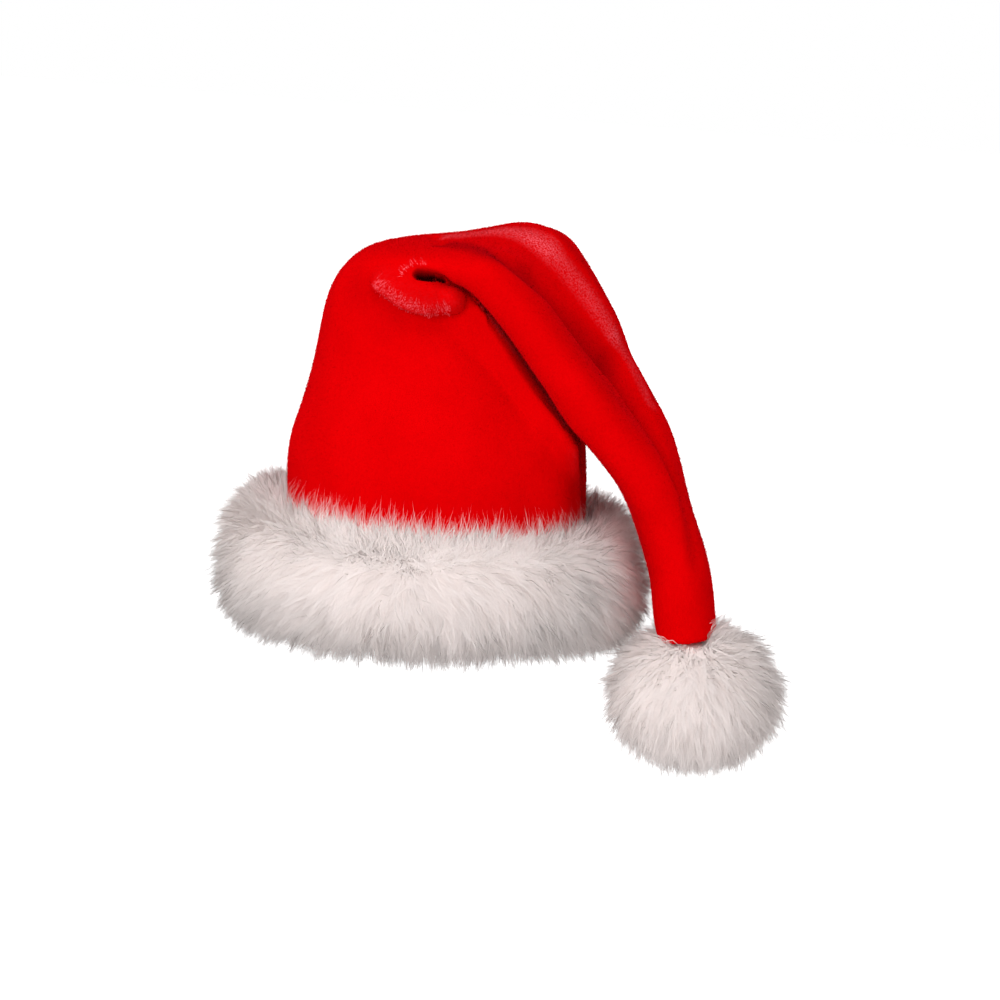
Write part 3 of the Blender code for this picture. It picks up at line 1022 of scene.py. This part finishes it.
def brushedPatch(tree, patch, rng):
    # one patch's hairs: the points of each that lie on the surface, and the way it looks
    path = patch["path"]
    places = rng.uniform(0, len(path) - 1, patch["count"])
    xs, ys = (
        np.interp(places, range(len(path)), [pixel[side] for pixel in path])
        + rng.normal(0, brushed["scatter"], len(places))
        for side in (0, 1)
    )
    towardsX, towardsY = patch["towards"]
    for x, y in zip(xs, ys):
        turn = math.atan2(towardsY - y, towardsX - x) + rng.normal(0, brushed["turn"])
        length = rng.uniform(*sorted(patch["length"]))
        stepX, stepY = math.cos(turn) * length, math.sin(turn) * length
        hits = [photoHit(tree, x + stepX * step, y + stepY * step) for step in brushed["steps"]]
        if not all(spot for spot, _ in hits):
            continue
        if (hits[-1][0] - hits[0][0]).length < abs(length) * brushed["longest"]:
            points = [spot + normal * lift for (spot, normal), lift in zip(hits, brushed["lifts"])]
            yield points, (hits[0][1] + hits[-1][1]).normalized()


def makeBrushed(tree, paint):
    # single hairs that lie over the folds, each carried over the surface in steps
    rng = np.random.default_rng(brushed["seed"])
    made = [found for patch in brushedHairs for found in brushedPatch(tree, patch, rng)]
    strands = np.array([points for points, _ in made])
    facing = np.array([normal for _, normal in made])
    along = strands[:, -1] - strands[:, 0]
    sides = turnedOut(unit(np.cross(facing, along)), along, facing)
    sides = sides * plush["pileWidth"] * brushed["widest"]
    rings = []
    for i, span in enumerate(brushed["spans"]):
        rings += [strands[:, i] - sides * span, strands[:, i] + sides * span]
    rings = np.stack([*rings, strands[:, -1]], axis=1)
    pile = ribbonMesh("brushedPile", rings, facing, paint)
    # these hairs take painted sheen, unevenly
    storeNapSheenShade(pile.data, np.repeat(rng.uniform(*brushed["napSheenShade"], len(rings)), rings.shape[1]))
    pile.visible_shadow = False
    print("brushedPile:", len(rings), "hairs")
    return pile


def makePile(cone, paint):
    # short hairs all over the cone, longer and more upright where the nap is brushed up
    rng = np.random.default_rng(plush["pileSeed"])
    count = plush["pileCount"]
    spots, facing, napSheenShade = surfaceSpots(cone, count, rng, 0)
    down = np.array(plush["pileFall"])
    fall = unit(down - facing * (facing @ down)[:, None])
    raisedSheen = np.clip(napSheenShade, 0, 1)
    splay = rng.normal(0, plush["pileSplay"], (count, 3))
    lean = unit(facing * (1 + raisedSheen[:, None]) + fall * plush["pileLean"] + splay)
    length = plush["pileLength"] * rng.uniform(*plush["pileLengths"], count) * (1 + raisedSheen / 2)
    along = lean * length[:, None]
    sides = unit(np.cross(lean, facing + rng.normal(0, plush["pileTwist"], (count, 3))))
    sides = turnedOut(sides, along, facing) * plush["pileWidth"] / 2
    rings = np.stack([spots - sides, spots + sides, spots + along], axis=1)
    pile = ribbonMesh("plushPile", rings, facing, paint)
    # the pile's hairs carry the cone's painted sheen and shade, unevenly
    storeNapSheenShade(pile.data, np.repeat(napSheenShade * rng.uniform(*plush["pileSheenShade"], count), 3))
    pile.visible_shadow = False
    print("plushPile:", count, "hairs")
    return pile


def countTriangles():
    total = 0
    for piece in bpy.context.scene.objects:
        if piece.type == "MESH" and piece.name not in frame["nodes"]:
            triangles = sum(len(polygon.vertices) - 2 for polygon in piece.data.polygons)
            total += triangles
            print(piece.name + ":", triangles, "triangles")
    print("in all:", total, "triangles")


def main():
    placeCamera()
    placeLights()
    placeFloor()
    print("camera, lights and floor placed")
    mottle = makeMottleGroup()
    pilePaint, furPaint = makePilePaint(mottle), makeFur(mottle)
    cone = makeCone(makePlush(mottle), makeBacking(mottle))
    finish(cone, "crown")
    tree = surfaceTree(cone)
    piles = [makePile(cone, pilePaint), makeBrushed(tree, pilePaint)]
    for pile in piles:
        finish(pile, None)
    backing = makeCuffBacking(furPaint)
    finish(backing, "fur_cuff")
    for fur in makeCuffFur(tree, furPaint):
        finish(fur, None)
    head = makePompomHead(furPaint)
    finish(head, "pompom")
    finish(makePompomFur(tree, furPaint), None)
    countTriangles()


main()
